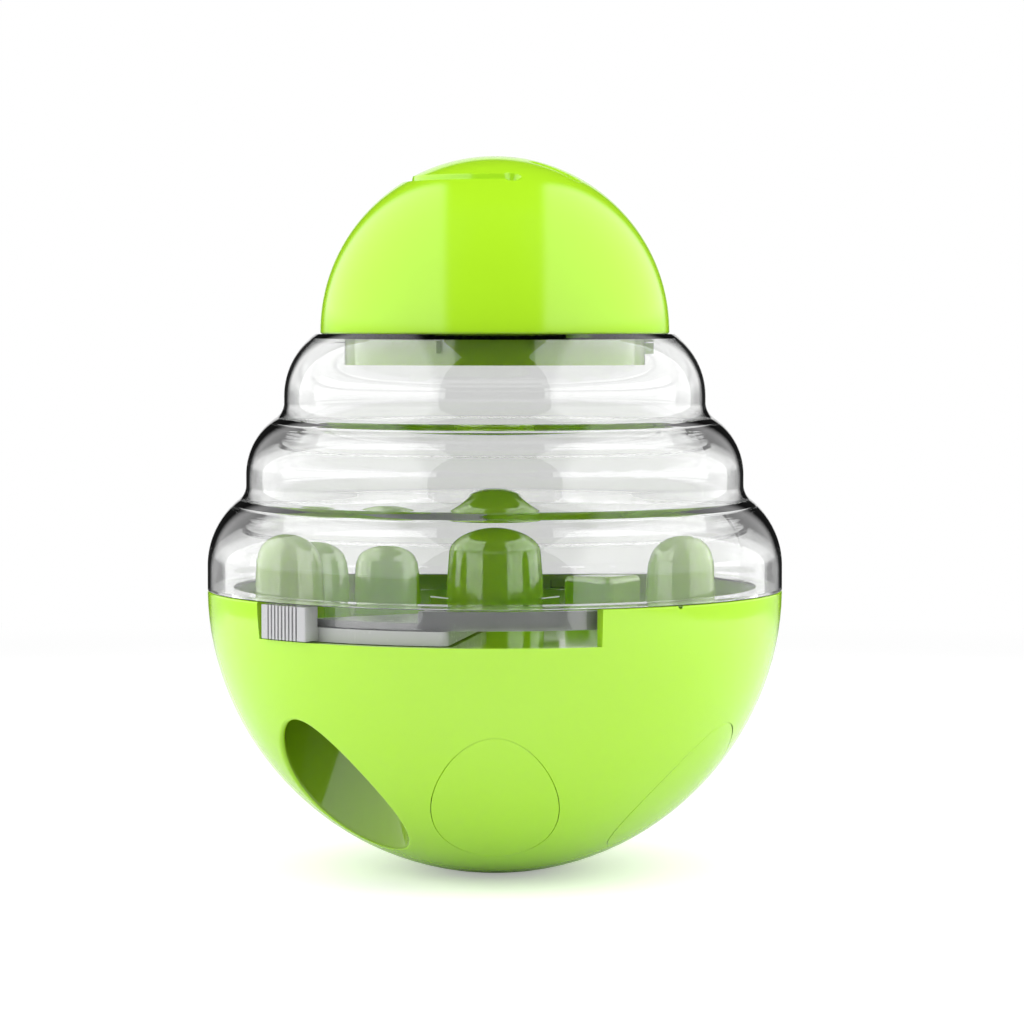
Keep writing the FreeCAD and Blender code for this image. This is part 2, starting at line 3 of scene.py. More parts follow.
import bmesh
import bpy
import numpy as np
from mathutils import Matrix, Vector


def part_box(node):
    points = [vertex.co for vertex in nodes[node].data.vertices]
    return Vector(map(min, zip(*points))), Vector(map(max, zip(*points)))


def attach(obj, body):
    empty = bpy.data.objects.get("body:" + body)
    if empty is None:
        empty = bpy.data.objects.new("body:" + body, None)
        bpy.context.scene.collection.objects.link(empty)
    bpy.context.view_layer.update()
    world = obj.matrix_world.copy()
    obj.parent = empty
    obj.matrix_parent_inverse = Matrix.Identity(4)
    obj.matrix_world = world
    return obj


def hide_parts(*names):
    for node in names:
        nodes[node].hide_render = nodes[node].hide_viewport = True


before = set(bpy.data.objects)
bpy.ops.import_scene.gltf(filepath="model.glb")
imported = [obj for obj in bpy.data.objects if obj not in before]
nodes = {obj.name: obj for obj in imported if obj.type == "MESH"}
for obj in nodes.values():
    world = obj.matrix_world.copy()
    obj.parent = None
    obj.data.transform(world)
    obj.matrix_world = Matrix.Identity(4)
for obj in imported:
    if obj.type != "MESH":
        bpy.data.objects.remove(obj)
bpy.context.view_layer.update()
print("frame loaded:", len(nodes), "nodes")

mm = 0.001

# in millimetres: a step between rows that only keeps them apart, and the last row at a pole
hairGap = 0.001
poleRadius = 0.02

# heights and radii that the pieces share, read from the frame
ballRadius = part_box("base_shell")[1].x
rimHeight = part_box("base_shell")[1].z
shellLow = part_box("clear_shell")[0].z
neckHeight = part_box("clear_shell")[1].z
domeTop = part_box("cap")[1].z
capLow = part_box("cap")[0].z


# meshes

def gridMesh(name, grid, closeStart=False, closeEnd=False):
    # grid is rows x columns x 3. Columns wrap round, rows run along the profile.
    # A row that has shrunk to a point on the axis is closed with a fan.
    rows, columns = grid.shape[:2]
    points = grid.reshape(-1, 3)
    index = np.arange(rows * columns).reshape(rows, columns)
    after = np.roll(index, -1, axis=1)
    quads = np.stack([index[:-1], after[:-1], after[1:], index[1:]], axis=-1).reshape(-1, 4)
    faces = quads.tolist()
    extra = []
    for wanted, row, turnRound in ((closeStart, 0, True), (closeEnd, rows - 1, False)):
        if wanted:
            pole = len(points) + len(extra)
            extra.append(grid[row].mean(axis=0))
            first, second = (after[row], index[row]) if turnRound else (index[row], after[row])
            faces += np.stack([first, second, np.full(columns, pole)], axis=-1).tolist()
    if extra:
        points = np.vstack([points, extra])
    mesh = bpy.data.meshes.new(name)
    mesh.from_pydata(points, [], faces)
    mesh.update()
    return mesh


def addPiece(name, mesh, material, body, sharpAngle=32.0):
    piece = bpy.data.objects.new(name, mesh)
    bpy.context.scene.collection.objects.link(piece)
    mesh.materials.append(material)
    mesh.shade_smooth()
    mesh.set_sharp_from_angle(angle=math.radians(sharpAngle))
    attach(piece, body)
    return piece


def arcPoints(centre, radius, first, last, count):
    # points on an arc of a profile, angles in degrees above level
    turn = np.radians(np.linspace(first, last, count))
    return np.stack([centre[0] + radius * np.cos(turn), centre[1] + radius * np.sin(turn)], axis=-1)


def linePoints(start, end, count):
    share = np.linspace(0.0, 1.0, count)[:, None]
    return np.array(start) * (1 - share) + np.array(end) * share


def heldLine(start, end, hold=0.05):
    # a straight run with a close point at each end, so that smooth shading stays flat along it
    near = hold / math.dist(start, end)
    share = np.array([0.0, near, 0.2, 0.5, 0.8, 1.0 - near, 1.0])[:, None]
    return np.array(start) * (1 - share) + np.array(end) * share


def within(azimuths, start, end):
    # mask of the columns whose azimuth lies between two azimuths, in degrees
    return (azimuths - start) % 360.0 <= (end - start) % 360.0


def edgesOf(places):
    # the azimuths where a row of lugs or slots starts and ends
    return [azimuth + side * places["halfAngle"] for azimuth in places["azimuths"] for side in (-1, 1)]


def inAnyOf(places, azimuths):
    # mask of the columns that lie in one of a row of lugs or slots
    half = places["halfAngle"]
    masks = [within(azimuths, middle - half, middle + half) for middle in places["azimuths"]]
    return np.any(masks, axis=0)


def columnsWith(breaks, count, width=0.02):
    # evenly spaced azimuths, with a close pair at each break so that its face stands upright
    even = np.linspace(0.0, 360.0, count, endpoint=False)
    pairs = np.concatenate([[b - width / 2, b + width / 2] for b in breaks]) % 360.0
    far = np.min(np.abs((even[:, None] - pairs[None, :] + 180.0) % 360.0 - 180.0), axis=1) > width
    return np.sort(np.concatenate([even[far], pairs]))


def spun(profiles, azimuths):
    # profiles is rows x columns x 2 (radius, height); azimuth 0 is the front and grows towards +X
    turn = np.radians(azimuths)[None, :]
    x = profiles[..., 0] * np.sin(turn)
    y = -profiles[..., 0] * np.cos(turn)
    return np.stack([x, y, profiles[..., 1]], axis=-1)


# material helpers

def newGroup(name, inputs, outputs):
    # inputs: name -> (kind, default); outputs: name -> kind
    group = bpy.data.node_groups.new(name, "ShaderNodeTree")
    for title, (kind, default) in inputs.items():
        socket = group.interface.new_socket(title, in_out="INPUT", socket_type="NodeSocket" + kind)
        socket.default_value = default
    for title, kind in outputs.items():
        group.interface.new_socket(title, in_out="OUTPUT", socket_type="NodeSocket" + kind)
    entry = group.nodes.new("NodeGroupInput")
    leave = group.nodes.new("NodeGroupOutput")
    return group, entry, leave


def addNode(tree, kind, **values):
    node = tree.nodes.new("ShaderNode" + kind)
    for title, value in values.items():
        setattr(node, title, value)
    return node


def mathNode(tree, operation, first, second=None, third=None, clamp=False):
    node = addNode(tree, "Math", operation=operation, use_clamp=clamp)
    for slot, value in enumerate((first, second, third)):
        if value is None:
            continue
        if isinstance(value, bpy.types.NodeSocket):
            tree.links.new(value, node.inputs[slot])
        else:
            node.inputs[slot].default_value = value
    return node.outputs[0]


def noiseNode(tree, vector, scale, detail=2.0):
    node = addNode(tree, "TexNoise")
    node.inputs["Scale"].default_value = scale
    node.inputs["Detail"].default_value = detail
    tree.links.new(vector, node.inputs["Vector"])
    return node.outputs["Fac"]


# Moulded plastic: cloudy colour, flow marks that run round the part, hairline handling
# scratches in the gloss, and the slow ripple of a moulded surface. Scales are per metre.
skinSetup = {
    "cloudScale": 38.0,
    "cloudShare": 0.7,
    "flowScale": (30.0, 30.0, 260.0),
    "flowShare": 0.3,
    "hairScale": 60.0,
    "hairRuns": ((0.5, (1.0, 26.0, 1.0)), (-0.8, (24.0, 1.0, 1.6))),
    "hairTilt": 0.3,
    "hairWidth": 0.006,
    "patchScale": 55.0,
    "patchLevel": 0.56,
    "fineScale": 900.0,
    "rippleScale": 110.0,
}


def makeMouldedSkin(setup):
    group, entry, leave = newGroup("mouldedSkin", {
        "Colour": ("Color", (0.5, 0.5, 0.5, 1.0)),
        "Cloud": ("Float", 0.04),
        "Gloss Roughness": ("Float", 0.1),
        "Gloss Spread": ("Float", 0.05),
        "Scratches": ("Float", 0.1),
        "Ripple": ("Float", 1.0),
    }, {"Colour": "Color", "Roughness": "Float", "Height": "Float"})
    place = addNode(group, "TexCoord").outputs["Object"]
    cloud = noiseNode(group, place, setup["cloudScale"], 3.0)
    flowPlace = addNode(group, "Mapping")
    flowPlace.inputs["Scale"].default_value = setup["flowScale"]
    group.links.new(place, flowPlace.inputs["Vector"])
    flow = noiseNode(group, flowPlace.outputs[0], 1.0)
    clouded = mathNode(group, "MULTIPLY", cloud, setup["cloudShare"])
    mixed = mathNode(group, "MULTIPLY_ADD", flow, setup["flowShare"], clouded)
    shift = mathNode(group, "SUBTRACT", mixed, 0.5)
    level = mathNode(group, "MULTIPLY_ADD", shift, entry.outputs["Cloud"], 1.0)
    tint = addNode(group, "VectorMath", operation="SCALE")
    group.links.new(entry.outputs["Colour"], tint.inputs[0])
    group.links.new(level, tint.inputs["Scale"])
    group.links.new(tint.outputs[0], leave.inputs["Colour"])

    # hairlines: thin ridges of a stretched, turned noise
    marks = []
    for turn, stretch in setup["hairRuns"]:
        hairPlace = addNode(group, "Mapping")
        hairPlace.inputs["Rotation"].default_value = (turn, setup["hairTilt"], turn * 2.0)
        hairPlace.inputs["Scale"].default_value = [setup["hairScale"] * along for along in stretch]
        group.links.new(place, hairPlace.inputs["Vector"])
        hair = noiseNode(group, hairPlace.outputs[0], 1.0, 1.0)
        ridge = mathNode(group, "ABSOLUTE", mathNode(group, "SUBTRACT", hair, 0.5))
        marks.append(mathNode(group, "LESS_THAN", ridge, setup["hairWidth"]))
    hairlines = mathNode(group, "MAXIMUM", marks[0], marks[1])
    patchNoise = noiseNode(group, place, setup["patchScale"])
    patches = mathNode(group, "GREATER_THAN", patchNoise, setup["patchLevel"])
    hairlines = mathNode(group, "MULTIPLY", hairlines, patches)
    worn = mathNode(group, "MULTIPLY", hairlines, entry.outputs["Scratches"])
    fine = mathNode(group, "SUBTRACT", noiseNode(group, place, setup["fineScale"], 3.0), 0.5)
    spread = mathNode(group, "MULTIPLY", fine, entry.outputs["Gloss Spread"])
    base = mathNode(group, "ADD", entry.outputs["Gloss Roughness"], spread)
    rough = mathNode(group, "ADD", base, worn, clamp=True)
    group.links.new(rough, leave.inputs["Roughness"])
    slow = noiseNode(group, place, setup["rippleScale"], 1.0)
    tall = mathNode(group, "MULTIPLY", slow, entry.outputs["Ripple"])
    group.links.new(tall, leave.inputs["Height"])
    return group


mouldedSkin = makeMouldedSkin(skinSetup)


def shadedWhere(tree, colour, mask, shade):
    # the colour, multiplied by the shade where the mask is 1
    mix = addNode(tree, "Mix", data_type="RGBA", blend_type="MULTIPLY")
    tree.links.new(mask, mix.inputs[0])
    tree.links.new(colour, mix.inputs[6])
    mix.inputs[7].default_value = (*shade, 1.0)
    return mix.outputs[2]


def wallShadeMask(tree, above):
    # painted shade: diffuse rays that meet the clear wall above the rim are darkened, so what stands
    # behind it is painted darker than the outside
    path = addNode(tree, "LightPath")
    split = addNode(tree, "SeparateXYZ")
    tree.links.new(addNode(tree, "TexCoord").outputs["Object"], split.inputs[0])
    higher = mathNode(tree, "GREATER_THAN", split.outputs["Z"], rimHeight + above * mm)
    return mathNode(tree, "MULTIPLY", path.outputs["Is Diffuse Ray"], higher)


def chuteShadeMask(tree, chute):
    # painted shade: a mask of the inside of the treat outlet, where the green plastic's colour is
    # darkened to stand in for the shade in the bore
    turn = math.radians(chute["azimuth"])
    fromChute = addNode(tree, "VectorMath", operation="SUBTRACT")
    tree.links.new(addNode(tree, "TexCoord").outputs["Object"], fromChute.inputs[0])
    fromChute.inputs[1].default_value = (chute["offset"] * math.sin(turn) * mm,
                                         -chute["offset"] * math.cos(turn) * mm, 0.0)
    level = addNode(tree, "VectorMath", operation="MULTIPLY")
    tree.links.new(fromChute.outputs[0], level.inputs[0])
    level.inputs[1].default_value = (1.0, 1.0, 0.0)
    away = addNode(tree, "VectorMath", operation="LENGTH")
    tree.links.new(level.outputs[0], away.inputs[0])
    height = addNode(tree, "SeparateXYZ")
    tree.links.new(fromChute.outputs[0], height.inputs[0])
    below = mathNode(tree, "LESS_THAN", height.outputs["Z"], chute["top"] * mm)
    near = mathNode(tree, "LESS_THAN", away.outputs["Value"], chute["radius"] * mm)
    return mathNode(tree, "MULTIPLY", near, below)


def plasticMaterial(name, setup):
    material = bpy.data.materials.new(name)
    material.use_nodes = True
    tree = material.node_tree
    shader = tree.nodes["Principled BSDF"]
    for socket, value in setup["shader"].items():
        shader.inputs[socket].default_value = value
    skin = addNode(tree, "Group", node_tree=mouldedSkin)
    for socket, value in setup["skin"].items():
        skin.inputs[socket].default_value = value
    colour = skin.outputs["Colour"]
    if "inner" in setup:
        inner = setup["inner"]
        # painted shade on what stands behind the clear wall above the rim
        colour = shadedWhere(tree, colour, wallShadeMask(tree, inner["above"]), inner["shade"])
    if "chute" in setup:
        # painted shade inside the treat outlet
        chute = setup["chute"]
        colour = shadedWhere(tree, colour, chuteShadeMask(tree, chute), chute["shade"])
    tree.links.new(colour, shader.inputs["Base Color"])
    tree.links.new(skin.outputs["Roughness"], shader.inputs["Roughness"])
    bump = addNode(tree, "Bump")
    bump.inputs["Strength"].default_value = setup["bump"]
    bump.inputs["Distance"].default_value = bumpDistance
    tree.links.new(skin.outputs["Height"], bump.inputs["Height"])
    tree.links.new(bump.outputs["Normal"], shader.inputs["Normal"])
    return material


# The shader's own values, the skin's values and the strength of the bump for each plastic
# and metal. Above the rim the clear wall's colour is darkened for diffuse rays, as painted shade
# on what it holds, and the green plastic's colour is darkened in the treat outlet as painted
# shade there; the outlet's place is given by azimuth and distance from the axis.
bumpDistance = 0.1 * mm
greenSetup = {
    "shader": {"IOR": 1.7},
    "skin": {"Colour": (0.345, 0.645, 0.014, 1.0), "Cloud": 0.05, "Gloss Roughness": 0.10,
             "Gloss Spread": 0.05, "Scratches": 0.06, "Ripple": 1.0},
    "bump": 0.08,
    # painted shade: the colour inside the treat outlet is multiplied down to stand in for the shade in
    # the bore
    "chute": {"azimuth": -46.5, "offset": 38.5, "radius": 11.75, "top": 46.0,
              "shade": (0.52, 0.50, 0.6)},
}
greyGateSetup = {
    "shader": {"IOR": 1.46},
    "skin": {"Colour": (0.42, 0.42, 0.43, 1.0), "Cloud": 0.06, "Gloss Roughness": 0.26,
             "Gloss Spread": 0.08, "Scratches": 0.1, "Ripple": 1.0},
    "bump": 0.1,
}
innerSetup = {
    "shader": {"IOR": 1.46},
    "skin": {"Colour": (0.05, 0.054, 0.054, 1.0), "Cloud": 0.1, "Gloss Roughness": 0.5,
             "Gloss Spread": 0.1, "Scratches": 0.1, "Ripple": 1.0},
    "bump": 0.2,
}
clearSetup = {
    "shader": {"Transmission Weight": 1.0, "IOR": 1.57},
    "skin": {"Colour": (0.90, 0.905, 0.90, 1.0), "Cloud": 0.0, "Gloss Roughness": 0.004,
             "Gloss Spread": 0.006, "Scratches": 0.02, "Ripple": 1.0},
    "bump": 0.03,
    # painted shade: the wall's colour is darkened for diffuse rays above the rim, which paints shade on
    # what stands behind it
    "inner": {"above": 1.2, "shade": (0.3, 0.3, 0.3)},
}
ironSetup = {
    "shader": {"Metallic": 1.0},
    "skin": {"Colour": (0.20, 0.20, 0.205, 1.0), "Cloud": 0.5, "Gloss Roughness": 0.55,
             "Gloss Spread": 0.25, "Scratches": 0.1, "Ripple": 2.0},
    "bump": 0.6,
}
steelSetup = {
    "shader": {"Metallic": 1.0},
    "skin": {"Colour": (0.50, 0.50, 0.51, 1.0), "Cloud": 0.15, "Gloss Roughness": 0.28,
             "Gloss Spread": 0.15, "Scratches": 0.2, "Ripple": 1.0},
    "bump": 0.15,
}

materials = {
    "green_plastic": plasticMaterial("greenPlastic", greenSetup),
    "clear_plastic": plasticMaterial("clearPlastic", clearSetup),
    "grey_plastic": plasticMaterial("greyPlastic", greyGateSetup),
    "inner_plastic": plasticMaterial("innerPlastic", innerSetup),
    "iron": plasticMaterial("castIron", ironSetup),
    "steel": plasticMaterial("zincSteel", steelSetup),
}
for node in nodes.values():
    slotName = node.data.materials[0].name.split(".")[0]
    node.data.materials[0] = materials[slotName]
print("materials ready:", len(materials))


# Maze floor. The CAD mesh is copied, and its pegs are drawn out to the height and the long
# round tops of the photograph. Pegs are given by azimuth and distance from the axis, and
# heights are above the floor's top, which lies under the gate by the gate's clearance.
mazeSetup = {
    "pegs": ((-74.0, 41.0), (-108.0, 37.5), (-144.0, 37.5), (72.0, 37.5)),
    "footRadius": 7.0,
    "shankHeight": 11.7,
    "shankRise": 3.0,
    "shankRadius": 6.05,
    "height": 22.2,
    "domeHeight": 7.5,
    "slack": 0.05,
    "lowest": 0.01,
    "mergeGap": 0.001,
    "gateGap": 0.3,
}
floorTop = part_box("gate_ring")[0].z - mazeSetup["gateGap"] * mm


def makeMazeFloor(setup):
    work = bmesh.new()
    work.from_mesh(nodes["maze_floor"].data)
    bmesh.ops.remove_doubles(work, verts=work.verts, dist=setup["mergeGap"] * mm)
    points = np.array([vertex.co[:] for vertex in work.verts]) / mm
    faces = [[vertex.index for vertex in face.verts] for face in work.faces]
    work.free()
    height = points[:, 2] - floorTop / mm
    drawn = height + setup["shankRise"] * height / setup["shankHeight"]
    for azimuth, distance in setup["pegs"]:
        turn = math.radians(azimuth)
        middle = (distance * math.sin(turn), -distance * math.cos(turn))
        away = np.hypot(points[:, 0] - middle[0], points[:, 1] - middle[1])
        # the top is half an ellipse over the shank
        share = np.clip(away / setup["shankRadius"], 0.0, 1.0)
        domed = setup["height"] - setup["domeHeight"] * (1.0 - np.sqrt(1.0 - share ** 2))
        peg = np.where(height > setup["shankHeight"], domed, drawn)
        chosen = (away < setup["footRadius"] + setup["slack"]) & (height > setup["lowest"])
        points[chosen, 2] = peg[chosen] + floorTop / mm
    mesh = bpy.data.meshes.new("pegged_floor")
    mesh.from_pydata(points * mm, [], faces)
    mesh.update()
    return mesh


peggedFloor = addPiece("pegged_floor", makeMazeFloor(mazeSetup), materials["green_plastic"], "bowl")
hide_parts("maze_floor")
print("floor ready:", len(peggedFloor.data.polygons), "faces")


# Centre post. A drafted post with a nearly half-round top, a fine groove near its foot, two
# side lugs whose tops slope, and the spigot that goes down into the floor.
postSetup = {
    "footRadius": 9.75,
    "topRadius": 8.6,
    "height": 26.7,
    "topRound": 8.3,
    "grooveLow": 4.7,
    "grooveHigh": 5.6,
    "grooveDepth": 0.35,
    "lugs": {"azimuths": (-90.0, 90.0), "halfAngle": 9.2, "reach": 12.65,
             "low": 3.4, "high": 5.5, "root": 5.13},
    "spigotRadius": 5.0,
    "spigotDepth": 2.0,
    "topRows": 36,
    "columns": 120,
}


def makeCentrePost(setup):
    lugs = setup["lugs"]
    draft = (setup["footRadius"] - setup["topRadius"]) / setup["height"]
    tilt = math.degrees(math.atan(draft))

    def side(height):
        return (setup["footRadius"] - draft * height, height)

    size = setup["topRound"]
    domeLow = setup["height"] - size
    centre = (side(domeLow)[0] - size / math.cos(math.radians(tilt)), domeLow)
    grooveRadius = side(setup["grooveLow"])[0] - setup["grooveDepth"]
    spigot, depth = setup["spigotRadius"], -setup["spigotDepth"]
    dome = arcPoints(centre, size, tilt, 90.0, setup["topRows"])
    section = [
        linePoints((poleRadius, depth), (spigot, depth), 6)[:-1],
        linePoints((spigot, depth), (spigot, 0.0), 4)[:-1],
        linePoints((spigot, 0.0), side(0.0), 5)[:-1],
        linePoints(side(0.0), side(lugs["low"]), 4),
        np.array([(lugs["reach"], lugs["low"]), (lugs["reach"], lugs["high"])]),
        np.array([(grooveRadius, lugs["root"])]),
        np.array([(grooveRadius, setup["grooveHigh"])]),
        linePoints(side(setup["grooveHigh"] + hairGap), dome[0], 14)[:-1],
        dome,
        linePoints(dome[-1], (poleRadius, setup["height"]), 3)[1:],
    ]
    starts = np.concatenate([[0], np.cumsum([len(part) for part in section])])
    azimuths = columnsWith(edgesOf(lugs), setup["columns"])
    profiles = np.repeat(np.vstack(section)[:, None, :], len(azimuths), axis=1)

    # away from the lugs, their rows lie on the post's side and at the groove's lower edge
    bare = np.where(~inAnyOf(lugs, azimuths))[0]
    profiles[starts[4], bare] = side(lugs["low"] + hairGap)
    profiles[starts[4] + 1, bare] = side(setup["grooveLow"])
    profiles[starts[5], bare] = (grooveRadius, setup["grooveLow"] + hairGap)
    profiles[..., 1] += floorTop / mm
    return gridMesh("round_post", spun(profiles, azimuths) * mm, closeStart=True, closeEnd=True)


roundPost = addPiece("round_post", makeCentrePost(postSetup), materials["green_plastic"], "bowl")
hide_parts("centre_post")
print("post ready:", len(roundPost.data.polygons), "faces")


# Clear shell. Its closed section is worked out once, in millimetres: each tier is a straight
# wall, then a shoulder that bends inwards, with a rounded valley before the next tier. The
# wall grows along a shoulder and is thinnest where the valley starts. That bends the view, so
# that the post shows again over the valley. Growing and thinning are shares of the shoulder.
shellSetup = {
    "wall": 0.7,
    "valleyWall": 0.558,
    "stepsIn": (0.0, 7.5, 14.9),
    "arcStarts": (4.8, 22.4, 37.6),
    "arcRadii": (16.4, 13.3, 15.0),
    "shoulderGrowths": (1.262, 1.07, 0.0),
    "growing": (0.094, 1.101),
    "thinning": (0.894, 1.002),
    "valleyRound": 3.725,
    "shoulderRows": 44,
    "valleyRows": 16,
    "topRows": 24,
    "edgeRound": 0.3,
    "skirtGap": 3.3,
    "skirtWall": 1.7,
    "landThickness": 1.3,
    "opening": 29.6,
    "skirtLugs": {"azimuths": (50.0, 160.0, 270.0), "halfAngle": 7.0, "reach": 1.5,
                  "below": 2.0, "height": 1.4},
    "neckSlots": {"azimuths": (29.0, 149.0, 269.0), "halfAngle": 5.05, "radius": 31.3},
    "columns": 240,
    "sharpAngle": 25.0,
}


def smoothShare(value, start, end):
    # 0 before the start, 1 past the end, and a smooth step between them
    share = np.clip((value - start) / (end - start), 0.0, 1.0)
    return share * share * (3.0 - 2.0 * share)


def directions(angles):
    turn = np.radians(angles)
    return np.stack([np.cos(turn), np.sin(turn)], axis=-1)


def tierFaces(setup, ballSize, low, neck, land):
    # Outer and inner profile of the three tiers, from the lowest wall to the neck. Each inner
    # point lies behind its outer point by the wall's thickness there.
    radii = [ballSize - step for step in setup["stepsIn"]]
    wall = setup["wall"]
    size = setup["valleyRound"]
    height = low
    outer, inner = [], []
    for index, radius in enumerate(radii):
        arcHeight = low + setup["arcStarts"][index]
        arcRadius = setup["arcRadii"][index]
        centre = (radius - arcRadius, arcHeight)
        straight = heldLine((radius, height), (radius, arcHeight))[:-1]
        outer.append(straight)
        inner.append(straight - (wall, 0.0))
        if index + 1 == len(radii):
            for face, faceRadius, top in ((outer, arcRadius, neck), (inner, arcRadius - wall, land)):
                end = math.degrees(math.asin((top - arcHeight) / faceRadius))
                face.append(arcPoints(centre, faceRadius, 0.0, end, setup["topRows"]))
            break
        # the valley's round touches the shoulder and the next wall, its middle out in the air
        middle = np.array([radii[index + 1] + size, 0.0])
        middle[1] = arcHeight + math.sqrt((arcRadius + size) ** 2 - (middle[0] - centre[0]) ** 2)
        end = math.degrees(math.atan2(middle[1] - arcHeight, middle[0] - centre[0]))
        angles = np.linspace(0.0, end, setup["shoulderRows"])[:-1]
        share = angles / end
        thin = smoothShare(share, *setup["thinning"])
        grown = wall + setup["shoulderGrowths"][index] * smoothShare(share, *setup["growing"])
        thickness = grown * (1.0 - thin) + setup["valleyWall"] * thin
        outer.append(centre + arcRadius * directions(angles))
        inner.append(centre + (arcRadius - thickness)[:, None] * directions(angles))
        turns = np.linspace(end, 0.0, setup["valleyRows"])[:-1]
        thickness = wall + (setup["valleyWall"] - wall) * smoothShare(turns / end, 0.0, 1.0)
        outer.append(middle - size * directions(turns))
        inner.append(middle - (size + thickness)[:, None] * directions(turns))
        height = middle[1]
    return np.vstack(outer), np.vstack(inner)


def makeClearShell(setup):
    ballSize, low, neck = ballRadius / mm, rimHeight / mm, neckHeight / mm
    skirtLow = shellLow / mm
    skirtOuter = ballSize - setup["skirtGap"]
    skirtInner = skirtOuter - setup["skirtWall"]
    land = neck - setup["landThickness"]
    lugs = setup["skirtLugs"]
    slots = setup["neckSlots"]
    lugTop = low - lugs["below"]
    lugLow = lugTop - lugs["height"]
    skirtTop = low + setup["wall"]
    outer, inner = tierFaces(setup, ballSize, low, neck, land)
    edge = setup["edgeRound"]
    outer = outer[outer[:, 1] > low + edge]
    inner = inner[inner[:, 1] > skirtTop]
    bottomRound = arcPoints((ballSize - edge, low + edge), edge, -90.0, 0.0, 5)
    # from inside the land, down the inner face, round the skirt and up the outer face
    section = [
        linePoints((setup["opening"], neck), (setup["opening"], land), 5)[:-1],
        linePoints((setup["opening"], land), inner[-1], 5)[:-1],
        inner[::-1],
        linePoints((ballSize - setup["wall"], skirtTop), (skirtInner, skirtTop), 5)[:-1],
        linePoints((skirtInner, skirtTop), (skirtInner, skirtLow), 7)[:-1],
        linePoints((skirtInner, skirtLow), (skirtOuter, skirtLow), 4)[:-1],
        linePoints((skirtOuter, skirtLow), (skirtOuter, lugLow), 3)[:-1],
        linePoints((skirtOuter + lugs["reach"], lugLow), (skirtOuter + lugs["reach"], lugTop), 4),
        linePoints((skirtOuter, lugTop + hairGap), (skirtOuter, low), 4)[:-1],
        linePoints((skirtOuter, low), bottomRound[0], 5)[:-1],
        bottomRound,
        outer[:-1],
        linePoints(outer[-1], (setup["opening"], neck), 5)[:-1],
    ]
    starts = np.concatenate([[0], np.cumsum([len(part) for part in section])])
    azimuths = columnsWith(edgesOf(lugs) + edgesOf(slots), setup["columns"])
    profiles = np.repeat(np.vstack(section)[:, None, :], len(azimuths), axis=1)

    # away from the lugs, the lug rows lie back against the skirt
    lugRows = np.arange(starts[7], starts[8])
    profiles[np.ix_(lugRows, np.where(~inAnyOf(lugs, azimuths))[0], [0])] = skirtOuter

    # at the entry slots, the land is cut back to the slot's radius
    landRows = np.concatenate([np.arange(starts[0], starts[2]), np.arange(starts[12], starts[13])])
    landPart = np.ix_(landRows, np.where(inAnyOf(slots, azimuths))[0], [0])
    profiles[landPart] = np.maximum(profiles[landPart], slots["radius"])

    # the section is a closed loop, so its first row is also its last
    grid = spun(profiles * mm, azimuths)
    grid = np.concatenate([grid, grid[:1]])
    rows, columns = grid.shape[:2]
    index = np.arange((rows - 1) * columns).reshape(rows - 1, columns)
    index = np.vstack([index, index[:1]])
    after = np.roll(index, -1, axis=1)
    quads = np.stack([index[:-1], after[:-1], after[1:], index[1:]], axis=-1).reshape(-1, 4)
    mesh = bpy.data.meshes.new("clear_tiered_shell")
    mesh.from_pydata(grid[:-1].reshape(-1, 3), [], quads.tolist())
    mesh.update()
    return mesh


clearShell = addPiece("clear_tiered_shell", makeClearShell(shellSetup), materials["clear_plastic"],
                      "shell", shellSetup["sharpAngle"])
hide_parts("clear_shell")
print("clear shell ready:", len(clearShell.data.polygons), "faces")


# Dome cap. A ball-shaped skin with a finger grip and a short mark pressed in, standing on a
# neck with three lugs. Points on the dome are given by angle from its top and azimuth.
capSetup = {
    "domeRadius": 34.0,
    "centreRise": 0.5,
    "wall": 2.4,
    "neckRadius": 29.3,
    "neckWall": 2.0,
    "floor": 2.0,
    "edgeRound": 0.4,
    "seatStart": 0.5,
    "lugs": {"azimuths": (-25.0, 95.0, 215.0), "halfAngle": 4.5, "reach": 1.7,
             "below": 1.45, "height": 2.2},
    "grip": {"radius": 17.0, "start": -170.0, "end": 11.0, "groove": 1.0, "endGroove": 1.5},
    "mark": {"start": (17.0, 50.0), "end": (31.0, 63.0), "groove": 1.0},
    "firstPolar": 0.25,
    "lastInside": 89.7,
    "gripBand": 3.2,
    "rows": {"above": 50, "grip": 36, "below": 84, "inside": 60},
    "columns": 360,
}


def domePoints(polar, azimuth, radius):
    # points on the dome by angle from its top and azimuth, about the dome's centre, in degrees
    tilt, turn = np.radians(polar), np.radians(azimuth)
    level = radius * np.sin(tilt)
    return np.stack([level * np.sin(turn), -level * np.cos(turn), radius * np.cos(tilt)], axis=-1)


def grooveDepth(distance, size):
    # a round-bottomed groove: full depth on its line, fading to nothing with a soft lip
    lipReach = 1.12
    lipPower = 1.15
    share = np.clip(distance / (size * lipReach), 0.0, 1.0)
    return size * (1.0 - share ** 2) ** lipPower


